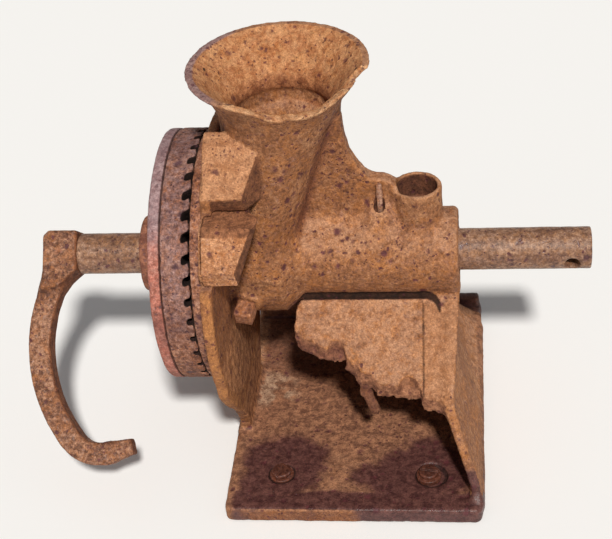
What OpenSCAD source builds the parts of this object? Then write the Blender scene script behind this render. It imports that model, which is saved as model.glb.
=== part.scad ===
// Hand crank grain mill: cast body with hopper, burr set and crank spindle.
// Frame: origin on the underside of the foot at its centre, +X along the
// spindle to the drive end, +Y to the rear, +Z up. Millimetres.

/* [Spindle] */
// spindle diameter
shaft_d = 25; // [19:0.5:32]
// height of the spindle above the bench
axis_h = 131; // [120:1:150]
// end of the spindle beyond the foot centre
drive_end = 143.4; // [110:0.1:170]
// cross hole diameter at the drive end
cross_d = 9; // [5:0.5:11]
// radial clearance of the spindle in its bushes
run_clear = 0.05; // [0.02:0.01:0.1]

/* [Burrs] */
// burr diameter
burr_d = 152.4; // [120:0.1:180]
// number of furrows round a burr
furrows = 38; // [24:1:48]
// gap between the burr faces
burr_gap = 0.5; // [0.3:0.1:2]

/* [Body] */
// foot width along the spindle
foot_w = 156; // [130:1:200]
// foot depth
foot_l = 200; // [160:1:240]
// foot thickness
foot_t = 11; // [8:0.5:16]
// barrel diameter
barrel_d = 52; // [46:0.5:56]
// round flange diameter
flange_d = 178; // [170:1:190]
// hopper rim diameter
hopper_d = 103.6; // [90:0.1:120]
// hopper rim height above the spindle
hopper_h = 128.8; // [115:0.1:140]
// hopper centre from the foot centre
hopper_x = -32.4; // [-45:0.1:-20]
// thickness of the sloped plates
plate_t = 8; // [6:0.5:10]

/* [Fixings] */
// spacing of the foot holes along the spindle
hole_sx = 91; // [70:1:110]
// spacing of the foot holes across the spindle
hole_sy = 140; // [110:1:160]
// foot hole diameter
hole_d = 9; // [7:0.5:12]

/* [Crank] */
// crank angle from straight down towards the front
crank_angle = 42; // [0:1:359]
// crank bar width
bar_w = 14; // [9:0.5:16]
// crank bar thickness
bar_t = 13; // [9:0.5:16]

/* [Hidden] */
shaft_r = shaft_d / 2;
burr_r = burr_d / 2;
barrel_r = barrel_d / 2;
flange_r = flange_d / 2;
hole_r = hole_d / 2;
// axial stations
flange_x0 = -76;
flange_x1 = -69.5;
fixed_x0 = -83.3;
carrier_x0 = -107.5;
carrier_x1 = -100.2;
hub_x0 = -125.4;
chamber_x1 = -44;
barrel_x1 = 65.5;
runner_x1 = fixed_x0 - burr_gap;
bush_f0 = -40;
bush_f1 = -22;
bush_r0 = 46;
bush_r = 19.5;
bush_fr = 16.5;
spigot_r = 8;
boss_x0 = -188.5;
boss_x1 = -167;
rim_z = axis_h + hopper_h;
rim_r = hopper_d / 2;
screw_pcr = 56;

module xcyl(x0, x1, r, fn = 96) {
  translate([x0, 0, axis_h]) rotate([0, 90, 0]) cylinder(h = x1 - x0, r = r, $fn = fn);
}
module xcone(x0, x1, ra, rb, fn = 96) {
  translate([x0, 0, axis_h]) rotate([0, 90, 0]) cylinder(h = x1 - x0, r1 = ra, r2 = rb, $fn = fn);
}
// prism along X of a profile given as [y, z]
module xprism(x0, x1, pts) {
  translate([x0, 0, 0]) rotate([90, 0, 90]) linear_extrude(height = x1 - x0) polygon(pts);
}
// prism along Y of a profile given as [x, z]
module yprism(y0, y1, pts) {
  translate([0, y1, 0]) rotate([90, 0, 0]) linear_extrude(height = y1 - y0) polygon(pts);
}

module foot() {
  c = 4;
  w = foot_w / 2;
  l = foot_l / 2;
  translate([-w + c, -l, 0]) cube([foot_w - 2 * c, foot_l, foot_t]);
  translate([-w, -l + c, 0]) cube([foot_w, foot_l - 2 * c, foot_t]);
  for (sx = [-1, 1], sy = [-1, 1]) translate([sx * (w - c), sy * (l - c), 0]) cylinder(h = foot_t, r = c, $fn = 48);
  translate([-w + 1, l - 7, foot_t - 1]) cube([foot_w - 2, 7, 10]);
}
// round flange with its leg
module left_wall() {
  xcyl(flange_x0, flange_x1, flange_r, 128);
  xprism(flange_x0, flange_x1, [[-74, 82], [-61, 62], [-46, 43], [-36, 29], [-31, 18], [-29, foot_t - 1], [29, foot_t - 1], [31, 18], [36, 29], [46, 43], [61, 62], [74, 82]]);
}
// outer line of the right wall as [x, z], flaring to the foot
flank = [[barrel_x1, axis_h], [barrel_x1, 112], [64.5, 104], [62.5, 90], [60.4, 78], [59.2, 68], [59.4, 62], [62.8, 52], [65.2, 42], [68.4, 31.6], [73, 22.5], [76, 16.3], [foot_w / 2, foot_t - 1]];
function shifted(v, d) = [for (p = v) [p[0] - d, p[1]]];
// sloped planes under the barrel, 45 degrees, then steeper to the foot
slope_z = 134;
module right_wall() {
  intersection() {
    yprism(-foot_l / 2, foot_l / 2, concat(flank, rev(shifted(flank, 6))));
    xprism(50, 90, [[-24, axis_h], [-20.5, slope_z - 20.5], [-67, slope_z - 67], [-93, foot_t - 1], [93, foot_t - 1], [67, slope_z - 67], [20.5, slope_z - 20.5], [24, axis_h]]);
  }
}
// broken front plate: what is left of it, with half of two bolt holes
module front_slab(t) {
  translate([0, 0, slope_z]) rotate([45, 0, 0]) translate([-60, -130, -t]) cube([140, 130, t]);
}
module front_plate() {
  difference() {
    intersection() {
      front_slab(plate_t);
      translate([0, 0, 40]) linear_extrude(height = 90) polygon([[-28, -12], [-28.2, -21.6], [-32.4, -25], [-33, -30], [-33.5, -36.2], [-31, -37.7], [-24.8, -40.1], [-19.5, -42], [-14.2, -43.6], [-2.4, -44], [-3.4, -46.7], [0.1, -48.9], [4, -51.2], [7.8, -52.7], [12.7, -55], [16.3, -58.3], [22.8, -59.2], [28.7, -59.7], [41.7, -59.7], [42.6, -62.9], [47.2, -64.1], [53.1, -65.3], [58.5, -67.4], [60, -62], [63, -40], [63, -12]]);
    }
    // half of two blind bolt seats
    intersection() {
      front_slab(plate_t * 0.6);
      union() {
        translate([-8.3, -45.6, 40]) cylinder(h = 90, r = 5.6, $fn = 48);
        translate([35.2, -61.4, 40]) cylinder(h = 90, r = 6, $fn = 48);
      }
    }
  }
}
// whole rear plate down to the foot
module rear_plate() {
  v = plate_t * sqrt(2);
  intersection() {
    xprism(flange_x1 - 1, 90, [[16, slope_z - 16], [67, slope_z - 67], [93, foot_t - 1], [85, foot_t - 1], [61, slope_z - 61 - v], [8, slope_z - 8 - v]]);
    yprism(0, foot_l / 2, concat(shifted(flank, 1), [[flange_x0, foot_t - 1], [flange_x0, axis_h]]));
  }
}
// stub of a rod under the front plate
module plate_stub() {
  translate([9, -50, 62]) rotate([0, 163, 0]) cylinder(h = 18, r = 3.3, $fn = 32);
  translate([9, -50, 60]) cylinder(h = 20, r = 3.8, $fn = 32);
}
module hopper_shell() {
  translate([hopper_x, 0, 0]) rotate_extrude($fn = 128) polygon([[0, 222], [34, 222], [35.2, 227], [35.5, 231], [36.6, 237], [39.2, 243.5], [43, 250], [48, 255.8], [rim_r - 0.2, rim_z - 1.4], [rim_r - 0.6, rim_z], [rim_r - 5, rim_z], [rim_r - 6, rim_z - 1.5], [0, rim_z - 1.5]]);
}
module hopper_hollow() {
  translate([hopper_x, 0, 0]) rotate_extrude($fn = 128) polygon([[0, 222], [28, 222], [28, 236], [30, 239], [34, 245], [38.6, 251], [43, 256], [rim_r - 5.6, rim_z - 1], [rim_r - 5.2, rim_z + 1], [0, rim_z + 1]]);
}
// broken front of the hopper rim
module rim_break() {
  yprism(-70, -6, [[-57, 262], [-47, 257], [-43, 255.5], [-39, 253], [-36.5, 252.5], [-34, 250], [-28, 248], [-24, 249.6], [-20, 248.4], [-14, 246.4], [-9, 246], [-3.5, 248], [2, 251], [6, 253], [30, 253], [30, 275], [-57, 275]]);
  yprism(-34, -6, [[9, 253], [16, 253.5], [18.5, 256.5], [30, 257], [30, 275], [9, 275]]);
}
// neck from the hopper down to the chamber, leaning to the burrs
module neck() {
  hull() {
    translate([-35, 0, 226]) cylinder(h = 5, r = 32.6, $fn = 32);
    translate([-40, 0, 204]) scale([0.83, 1, 1]) cylinder(h = 1, r = 34.5, $fn = 32);
  }
  hull() {
    translate([-40, 0, 204]) scale([0.83, 1, 1]) cylinder(h = 1, r = 34.5, $fn = 32);
    translate([-51, 0, 140]) scale([0.53, 1, 1]) cylinder(h = 1, r = 36, $fn = 32);
  }
}
module throat() {
  hull() {
    translate([hopper_x, 0, 225]) cylinder(h = 1, r = 28, $fn = 32);
    translate([-57, 0, axis_h]) cylinder(h = 40, r = 9.5, $fn = 32);
  }
}
module fin() {
  yprism(-5, 5, [[-46, 150], [-46, 190], [-14, 236], [0.5, 236], [1.2, 226], [2, 214], [4.4, 202], [9, 193], [14, 187], [18, 185], [23, 184.6], [27, 183], [31, 179], [34, 150]]);
}
module upper_lug() {
  intersection() {
    xprism(flange_x0 + 1.5, -34, [[-20, 230], [-31, 226.5], [-36, 222], [-51, 203.5], [-47.5, 193.5], [-30, 193.5], [-20, 200]]);
    translate([0, 0, 180]) linear_extrude(height = 60) polygon([[flange_x0, -20], [flange_x0, -60], [-57.2, -60], [-43.5, -36], [-34.4, -20]]);
  }
}
module wedge_solid() {
  intersection() {
    xprism(flange_x0 + 1.5, -40, [[-38, 193.5], [-63, 192.6], [-65, 191], [-78, 173], [-76, 163], [-38, 163]]);
    translate([0, 0, 160]) linear_extrude(height = 40) polygon([[flange_x0, -38], [flange_x0, -80], [-57.4, -80], [-47.5, -65], [-43.5, -58], [-43.5, -52], [-50, -46], [-50, -38]]);
    yprism(-90, -30, [[flange_x0, 160], [-56, 160], [-43.1, 194], [flange_x0, 194]]);
  }
}
// axis of the burr set screw, leaning to the front and to the burrs
module screw_axis() {
  translate([-52, 0, axis_h]) rotate([112, 0, 0]) rotate([0, -12, 0]) children();
}
module mill_body() {
  color([0.62, 0.40, 0.27]) difference() {
    union() {
      foot();
      left_wall();
      right_wall();
      front_plate();
      rear_plate();
      plate_stub();
      neck();
      xcyl(flange_x1 - 1, -38, 36);
      xcone(-38.2, -26, 36, barrel_r);
      xcyl(-40, barrel_x1, barrel_r);
      hopper_shell();
      fin();
      upper_lug();
      translate([42, 0, 150]) cylinder(h = 28, r = 14.6, $fn = 64);
      // small boss of the oil hole pin
      translate([20.5, -5, 148]) cylinder(h = 22, r = 6, $fn = 48);
      // boss of the burr set screw
      screw_axis() translate([0, 0, 30]) cylinder(h = 7.6, r = 7.5, $fn = 48);
    }
    hopper_hollow();
    throat();
    rim_break();
    wedge_solid();
    // flange trimmed to the faces of the lug and the wedge
    xprism(flange_x0 - 1, flange_x1 + 2, [[-64.5, 191.7], [-78.2, 172.8], [-76.4, 163], [-100, 163], [-100, 215], [-41.4, 215], [-51.2, 203.4], [-52, 193.2]]);
    // chamber and spindle bores
    xcyl(flange_x0 - 1, chamber_x1, 29);
    xcyl(chamber_x1 - 1, bush_f0 + 0.1, 14);
    xcyl(bush_f0, bush_f1, bush_fr);
    xcyl(bush_f1 - 0.1, barrel_x1 + 1, bush_r);
    // oil cup and its passage
    translate([42, 0, 162]) cylinder(h = 20, r = 11.8, $fn = 64);
    translate([42, 0, 140]) cylinder(h = 24, r = 2, $fn = 32);
    // oil hole of the pin beside the cup, opened out at the top
    translate([20.5, -6.6, 146]) cylinder(h = 30, r = 1.7, $fn = 32);
    translate([20.5, -6.6, 160]) cylinder(h = 12, r = 3.6, $fn = 32);
    // set screw hole
    screw_axis() translate([0, 0, 20]) cylinder(h = 30, r = 4, $fn = 48);
    // foot holes, the right front one in a wide recess
    for (sx = [-1, 1], sy = [-1, 1]) translate([sx * hole_sx / 2, sy * hole_sy / 2, -1]) cylinder(h = foot_t + 2, r = hole_r, $fn = 48);
    translate([-hole_sx / 2, -hole_sy / 2, foot_t - 1]) cylinder(h = 3, r = 8.2, $fn = 48);
    translate([hole_sx / 2 + 1.6, -hole_sy / 2, foot_t - 2.4]) cylinder(h = 4, r = 10, $fn = 48);
    // tapped holes for the fixed burr
    for (a = [30, 150, 270]) translate([flange_x0 - 1, 0, axis_h]) rotate([a, 0, 0]) translate([0, 0, screw_pcr]) rotate([0, 90, 0]) cylinder(h = 6.2, r = 3, $fn = 32);
  }
}
// ring with furrows on the face at xf, cut d deep towards dir
module furrow_cuts(xf, dir, d) {
  for (i = [0:furrows - 1]) translate([xf, 0, axis_h]) rotate([i * 360 / furrows, 0, 0]) translate([dir > 0 ? -0.5 : -d, -3.3, 44]) rotate([0, 0, 0]) cube([d + 0.5, 6.6, 60]);
}
module stationary_burr() {
  color([0.55, 0.42, 0.38]) difference() {
    xcyl(fixed_x0, flange_x0, burr_r, 128);
    xcyl(fixed_x0 - 1, flange_x0 + 1, 30);
    xcone(fixed_x0 - 0.01, fixed_x0 + 2.5, 40, 36);
    for (a = [30, 150, 270]) translate([fixed_x0 - 0.01, 0, axis_h]) rotate([a, 0, 0]) translate([0, 0, screw_pcr]) rotate([0, 90, 0]) {
      cylinder(h = 12, r = 3, $fn = 32);
      cylinder(h = 3.2, r1 = 6.4, r2 = 3, $fn = 32);
    }
  }
}
module stationary_burr_screws() {
  color([0.45, 0.35, 0.30]) for (a = [30, 150, 270]) translate([fixed_x0, 0, axis_h]) rotate([a, 0, 0]) translate([0, 0, screw_pcr]) rotate([0, 90, 0]) difference() {
    union() {
      translate([0, 0, 0.3]) cylinder(h = 3, r1 = 5.8, r2 = 2.9, $fn = 32);
      translate([0, 0, 0.3]) cylinder(h = 11.8, r = 2.9, $fn = 32);
    }
    translate([-0.6, -8, 0]) cube([1.2, 16, 1.4]);
  }
}
module front_bush() {
  color([0.66, 0.52, 0.28]) difference() {
    xcyl(bush_f0, bush_f1, bush_fr);
    xcyl(bush_f0 - 1, bush_f1 + 1, shaft_r + run_clear);
  }
}
module rear_bush() {
  color([0.66, 0.52, 0.28]) difference() {
    xcyl(bush_r0, barrel_x1, bush_r);
    xcyl(bush_r0 - 1, barrel_x1 + 1, shaft_r + run_clear);
  }
}
module thrust_washer() {
  color([0.60, 0.50, 0.30]) difference() {
    xcyl(bush_f1, bush_f1 + 2, bush_r - 0.3);
    xcyl(bush_f1 - 1, bush_f1 + 3, shaft_r + 0.4);
  }
}
module retaining_wedge() {
  color([0.72, 0.46, 0.30]) wedge_solid();
}
module burr_set_screw() {
  color([0.55, 0.38, 0.28]) screw_axis() {
    translate([0, 0, 30.2]) cylinder(h = 9, r = 4, $fn = 48);
    translate([-5.5, -5.5, 37.8]) cube([11, 11, 11]);
  }
}
module oil_hole_pin() {
  color([0.72, 0.55, 0.42]) translate([20.5, -6.6, 148]) {
    cylinder(h = 26, r = 1.7, $fn = 32);
    translate([0, 0, 26]) cylinder(h = 9, r1 = 2.1, r2 = 1.5, $fn = 32);
  }
}
module bolt_at(x) {
  translate([x, -hole_sy / 2, 0]) difference() {
    union() {
      cylinder(h = foot_t + 1, r = 4, $fn = 48);
      translate([0, 0, foot_t + 0.8]) cylinder(h = 1.4, r = 6, $fn = 48);
      translate([0, 0, foot_t + 2.2]) cylinder(h = 1.5, r1 = 6, r2 = 4.2, $fn = 48);
    }
    translate([-0.8, -8, foot_t + 2.5]) cube([1.6, 16, 3]);
  }
}
module mounting_bolts() {
  color([0.38, 0.22, 0.18]) {
    bolt_at(-hole_sx / 2);
    bolt_at(hole_sx / 2);
  }
}
module mounting_washers() {
  color([0.40, 0.24, 0.19]) for (sx = [-1, 1]) translate([sx * hole_sx / 2, -hole_sy / 2, foot_t - (sx > 0 ? 2.4 : 1)]) difference() {
    cylinder(h = sx > 0 ? 3.2 : 1.8, r = 7.6, $fn = 48);
    translate([0, 0, -1]) cylinder(h = 6, r = 4.2, $fn = 48);
  }
}
module shaft() {
  color([0.60, 0.44, 0.35]) difference() {
    union() {
      xcyl(boss_x1 + 0.0, drive_end - 1, shaft_r);
      xcone(drive_end - 1.01, drive_end, shaft_r, shaft_r - 1);
      xcyl(boss_x0 + 1, boss_x1 + 0.1, spigot_r);
    }
    // relief groove outside the rear bush
    difference() {
      xcyl(67, 69, shaft_r + 1);
      xcyl(66, 70, shaft_r - 0.3);
    }
    // cross hole at the drive end
    translate([132, 0, axis_h]) rotate([-71, 0, 0]) translate([0, 0, -20]) cylinder(h = 40, r = cross_d / 2, $fn = 48);
    // key seat
    translate([-122, -3, axis_h + shaft_r - 3]) cube([20, 6, 4]);
    // worm pin hole
    translate([-64, 0, axis_h - 20]) cylinder(h = 40, r = 2.5, $fn = 32);
    // crank pin hole
    translate([-178, 0, axis_h]) rotate([-90 - crank_angle, 0, 0]) translate([0, 0, -20]) cylinder(h = 40, r = 2.5, $fn = 32);
  }
}
module feed_worm() {
  color([0.50, 0.38, 0.31]) difference() {
    union() {
      xcyl(-75.5, -46, 17);
      for (i = [0:8]) translate([-74 + i * 3, 0, axis_h]) rotate([i * 40, 0, 0]) translate([0, -6.5, 15]) cube([4, 13, 10.2]);
    }
    xcyl(-77, -45, shaft_r);
    translate([-64, 0, axis_h - 30]) cylinder(h = 60, r = 2.5, $fn = 32);
  }
}
module worm_pin() {
  color([0.55, 0.55, 0.55]) translate([-64, 0, axis_h - 17]) cylinder(h = 34, r = 2.5, $fn = 32);
}
module thrust_collar() {
  color([0.52, 0.45, 0.40]) difference() {
    xcyl(bush_f1 + 2.4, bush_f1 + 13, 18.5);
    xcyl(bush_f1 + 2, bush_f1 + 14, shaft_r);
    translate([bush_f1 + 8, 0, axis_h]) cylinder(h = 30, r = 2.5, $fn = 32);
  }
}
module collar_screw() {
  color([0.45, 0.42, 0.40]) translate([bush_f1 + 8, 0, axis_h + shaft_r]) difference() {
    cylinder(h = 5.4, r = 2.5, $fn = 32);
    translate([-3, -0.5, 4.4]) cube([6, 1, 2]);
  }
}
module burr_carrier() {
  color([0.68, 0.42, 0.36]) difference() {
    union() {
      xcone(carrier_x0, carrier_x0 + 1, burr_r - 1, burr_r, 128);
      xcyl(carrier_x0 + 0.99, carrier_x1 - 0.6, burr_r, 128);
      xcone(carrier_x1 - 0.61, carrier_x1, burr_r, burr_r - 0.6, 128);
      xcone(hub_x0, hub_x0 + 3, 21, 23.4);
      xcyl(hub_x0 + 2.9, carrier_x0 + 1, 23.4);
    }
    xcyl(hub_x0 - 1, carrier_x1 + 1, shaft_r);
    translate([-122, -3, axis_h + shaft_r - 1]) cube([30, 6, 4]);
    translate([hub_x0 - 1, -3, axis_h + shaft_r - 1]) cube([4, 6, 4]);
    for (a = [90, 210, 330]) translate([carrier_x0 - 1, 0, axis_h]) rotate([a, 0, 0]) translate([0, 0, screw_pcr]) rotate([0, 90, 0]) cylinder(h = 12, r = 3.2, $fn = 32);
  }
}
module carrier_key() {
  color([0.5, 0.5, 0.5]) translate([-122, -3, axis_h + shaft_r - 3]) cube([20, 6, 6]);
}
module runner_burr() {
  color([0.56, 0.43, 0.39]) difference() {
    union() {
      xcone(carrier_x1, carrier_x1 + 0.8, burr_r - 0.8, burr_r, 128);
      xcyl(carrier_x1 + 0.79, runner_x1, burr_r, 128);
    }
    xcyl(carrier_x1 - 1, runner_x1 + 1, 30);
    xcone(runner_x1 - 3, runner_x1 + 0.01, 36, 42);
    furrow_cuts(runner_x1, -1, 4.2);
    for (a = [90, 210, 330]) translate([carrier_x1 - 1, 0, axis_h]) rotate([a, 0, 0]) translate([0, 0, screw_pcr]) rotate([0, 90, 0]) cylinder(h = 9, r = 3, $fn = 32);
  }
}
module runner_burr_bolts() {
  color([0.45, 0.35, 0.30]) for (a = [90, 210, 330]) translate([carrier_x0, 0, axis_h]) rotate([a, 0, 0]) translate([0, 0, screw_pcr]) rotate([0, 90, 0]) {
    translate([0, 0, -4]) cylinder(h = 4, r = 6, $fn = 6);
    cylinder(h = 13, r = 2.9, $fn = 32);
  }
}
// crank centre line: a wide bow, a short straight, a tight bow and the tip
bow_c = [-99.3, 56.4];
bow_r = 92;
bow_a1 = 145;
run_d = 5.6;
hook_r = 22;
hook_a1 = 75;
function on_arc(c, r, a) = [c[0] + r * cos(a), c[1] + r * sin(a)];
function arc_dir(a) = [sin(a), -cos(a)];
bow_end = on_arc(bow_c, bow_r, bow_a1);
hook_start = bow_end + run_d * arc_dir(bow_a1);
hook_c = hook_start - hook_r * [cos(bow_a1), sin(bow_a1)];
hook_end = on_arc(hook_c, hook_r, hook_a1);
tip = hook_end + 16 * arc_dir(hook_a1);
function side(o) = concat(
  [for (i = [0:24]) on_arc(bow_c, bow_r + o, 207 + i * (bow_a1 - 207) / 24)],
  [for (i = [0:12]) on_arc(hook_c, hook_r + o, bow_a1 + i * (hook_a1 - bow_a1) / 12)],
  [tip + 0.72 * o * [cos(hook_a1), sin(hook_a1)]]);
function rev(v) = [for (i = [len(v) - 1:-1:0]) v[i]];
// crank plane: first coordinate along X, second outwards along the arm
module crank_plane(t) {
  translate([0, 0, axis_h]) rotate([-crank_angle, 0, 0]) rotate([-90, 0, 0]) translate([0, 0, -t / 2]) linear_extrude(height = t) children();
}
module crank_arm() {
  color([0.58, 0.36, 0.23]) difference() {
    union() {
      crank_plane(bar_t) polygon(concat(side(bar_w / 2), rev(side(-bar_w / 2))));
      crank_plane(25) polygon([[boss_x0, -10.5], [boss_x0 + 3.5, -13.6], [boss_x1 - 1, -13.6], [boss_x1, -12.6], [boss_x1, 11], [-172, 15], [-179, 21], [-190, 22.5], [boss_x0, 12]]);
    }
    xcyl(boss_x0 - 12, boss_x1 + 1, spigot_r, 64);
    translate([-178, 0, axis_h]) rotate([-90 - crank_angle, 0, 0]) translate([0, 0, -20]) cylinder(h = 40, r = 2.5, $fn = 32);
  }
}
module crank_pin() {
  color([0.5, 0.42, 0.38]) translate([-178, 0, axis_h]) rotate([-90 - crank_angle, 0, 0]) translate([0, 0, -12.5]) cylinder(h = 25, r = 2.5, $fn = 32);
}

mill_body();
stationary_burr();
stationary_burr_screws();
front_bush();
rear_bush();
thrust_washer();
retaining_wedge();
burr_set_screw();
oil_hole_pin();
mounting_bolts();
mounting_washers();
shaft();
feed_worm();
worm_pin();
thrust_collar();
collar_screw();
burr_carrier();
carrier_key();
runner_burr();
runner_burr_bolts();
crank_arm();
crank_pin();
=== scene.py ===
import bpy, math
import numpy as np
from mathutils import Matrix, Vector


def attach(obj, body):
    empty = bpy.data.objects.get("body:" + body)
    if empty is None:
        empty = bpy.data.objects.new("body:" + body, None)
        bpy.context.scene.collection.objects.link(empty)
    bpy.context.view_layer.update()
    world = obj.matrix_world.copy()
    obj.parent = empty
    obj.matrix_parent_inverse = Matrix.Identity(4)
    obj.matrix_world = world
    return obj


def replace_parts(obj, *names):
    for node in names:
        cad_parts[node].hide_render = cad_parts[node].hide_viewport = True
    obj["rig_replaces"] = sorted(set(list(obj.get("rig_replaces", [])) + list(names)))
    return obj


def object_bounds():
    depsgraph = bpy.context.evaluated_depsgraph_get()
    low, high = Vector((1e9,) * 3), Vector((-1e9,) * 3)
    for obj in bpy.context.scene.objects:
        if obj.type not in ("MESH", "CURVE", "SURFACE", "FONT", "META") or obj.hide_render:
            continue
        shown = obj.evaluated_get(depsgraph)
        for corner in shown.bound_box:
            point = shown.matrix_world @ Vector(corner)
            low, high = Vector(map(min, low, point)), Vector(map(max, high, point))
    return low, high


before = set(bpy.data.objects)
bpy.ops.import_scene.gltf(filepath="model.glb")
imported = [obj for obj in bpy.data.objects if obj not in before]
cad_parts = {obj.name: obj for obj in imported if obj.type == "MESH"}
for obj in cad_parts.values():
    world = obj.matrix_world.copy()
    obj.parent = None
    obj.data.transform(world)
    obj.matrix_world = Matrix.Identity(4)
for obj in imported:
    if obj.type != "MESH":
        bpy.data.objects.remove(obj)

cad_box = [list(v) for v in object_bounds()]
F32 = np.float32
AX = 131.0          # spindle height, mm
HX = -32.4          # hopper centre, mm
RIM = 259.8         # hopper rim height, mm

# ---------------------------------------------------------------- noise
def lattice(ix, iy, iz, seed):
    with np.errstate(over="ignore"):
        h = (ix.astype(np.uint32) * np.uint32(374761393) + iy.astype(np.uint32) * np.uint32(668265263)
             + iz.astype(np.uint32) * np.uint32(2246822519) + np.uint32((seed * 3266489917) % 4294967296))
        h = (h ^ (h >> np.uint32(13))) * np.uint32(1274126177)
        h = (h ^ (h >> np.uint32(15))) * np.uint32(2654435761)
        h = h ^ (h >> np.uint32(16))
    return h.astype(F32) * F32(1 / 4294967295.0)

def vnoise(p, size, seed):
    """Smooth value noise, -1 to 1, with cells of that size."""
    q = p / F32(size)
    i = np.floor(q).astype(np.int32)
    f = (q - i).astype(F32)
    u = f * f * (3 - 2 * f)
    out = 0
    for dx in (0, 1):
        wx = u[:, 0] if dx else 1 - u[:, 0]
        for dy in (0, 1):
            wy = u[:, 1] if dy else 1 - u[:, 1]
            for dz in (0, 1):
                wz = u[:, 2] if dz else 1 - u[:, 2]
                out = out + wx * wy * wz * lattice(i[:, 0] + dx, i[:, 1] + dy, i[:, 2] + dz, seed)
    return out * 2 - 1

def fbm(p, size, seed, octaves=3, gain=0.5):
    a, s, out = 1.0, size, 0
    for o in range(octaves):
        out = out + a * vnoise(p, s, seed + 17 * o)
        a, s = a * gain, s * 0.5
    return out

def smooth(x, a, b):
    t = np.clip((x - a) / (b - a), 0, 1)
    return t * t * (3 - 2 * t)

# ---------------------------------------------------------------- distance fields
class Grid:
    def __init__(self, lo, hi, h):
        self.lo = np.array(lo, float) - 2.5 * h
        n = np.ceil((np.array(hi, float) + 2.5 * h - self.lo) / h).astype(int) + 1
        ax = [(self.lo[k] + h * np.arange(n[k])).astype(F32) for k in range(3)]
        self.h, self.n = h, n
        self.X, self.Y, self.Z = ax[0][:, None, None], ax[1][None, :, None], ax[2][None, None, :]

def smin(a, b, k):
    if k <= 0:
        return np.minimum(a, b)
    t = np.clip(k - np.abs(a - b), 0, None) / k
    return np.minimum(a, b) - t * t * (k * 0.25)

def smax(a, b, k):
    return -smin(-a, -b, k)

def pair(a, b, r=0.0):
    """Solid where both distances are negative, with the edge between them rounded."""
    a, b = a + r, b + r
    return np.minimum(np.maximum(a, b), 0) + np.sqrt(np.maximum(a, 0) ** 2 + np.maximum(b, 0) ** 2) - r

def span(v, lo, hi):
    return np.abs(v - (lo + hi) / 2) - (hi - lo) / 2

def box(g, lo, hi, r=0.0):
    return pair(pair(span(g.X, lo[0], hi[0]), span(g.Y, lo[1], hi[1]), r), span(g.Z, lo[2], hi[2]), r)

def xcyl(g, x0, x1, rad, r=0.0):
    return pair(np.sqrt(g.Y ** 2 + (g.Z - AX) ** 2) - rad, span(g.X, x0, x1), r)

def zcyl(g, x, y, z0, z1, rad, r=0.0):
    return pair(np.sqrt((g.X - x) ** 2 + (g.Y - y) ** 2) - rad, span(g.Z, z0, z1), r)

def poly2(u, v, pts):
    """Signed distance to a polygon, for arrays u and v that broadcast."""
    d, s = None, None
    n = len(pts)
    for i in range(n):
        ax, ay = pts[i]
        bx, by = pts[i - 1]
        ex, ey = bx - ax, by - ay
        wx, wy = u - ax, v - ay
        t = np.clip((wx * ex + wy * ey) / (ex * ex + ey * ey + 1e-12), 0, 1)
        dd = (wx - ex * t) ** 2 + (wy - ey * t) ** 2
        d = dd if d is None else np.minimum(d, dd)
        c1, c2, c3 = v >= ay, v < by, ex * wy > ey * wx
        flip = (c1 & c2 & c3) | (~c1 & ~c2 & ~c3)
        s = flip if s is None else s ^ flip
    return np.where(s, -1, 1) * np.sqrt(d)

def table2(u, v, pts, ulo, uhi, vlo, vhi, step=0.4):
    """The same distance looked up in a fine table, for full 3-D arrays."""
    gu = np.arange(ulo, uhi + step, step, dtype=F32)
    gv = np.arange(vlo, vhi + step, step, dtype=F32)
    t = poly2(gu[:, None], gv[None, :], pts).astype(F32)
    fu = np.clip((u - ulo) / step, 0, len(gu) - 1.001)
    fv = np.clip((v - vlo) / step, 0, len(gv) - 1.001)
    iu, iv = fu.astype(np.int32), fv.astype(np.int32)
    a, b = fu - iu, fv - iv
    return t[iu, iv] * (1 - a) * (1 - b) + t[iu + 1, iv] * a * (1 - b) + t[iu, iv + 1] * (1 - a) * b + t[iu + 1, iv + 1] * a * b

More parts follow.
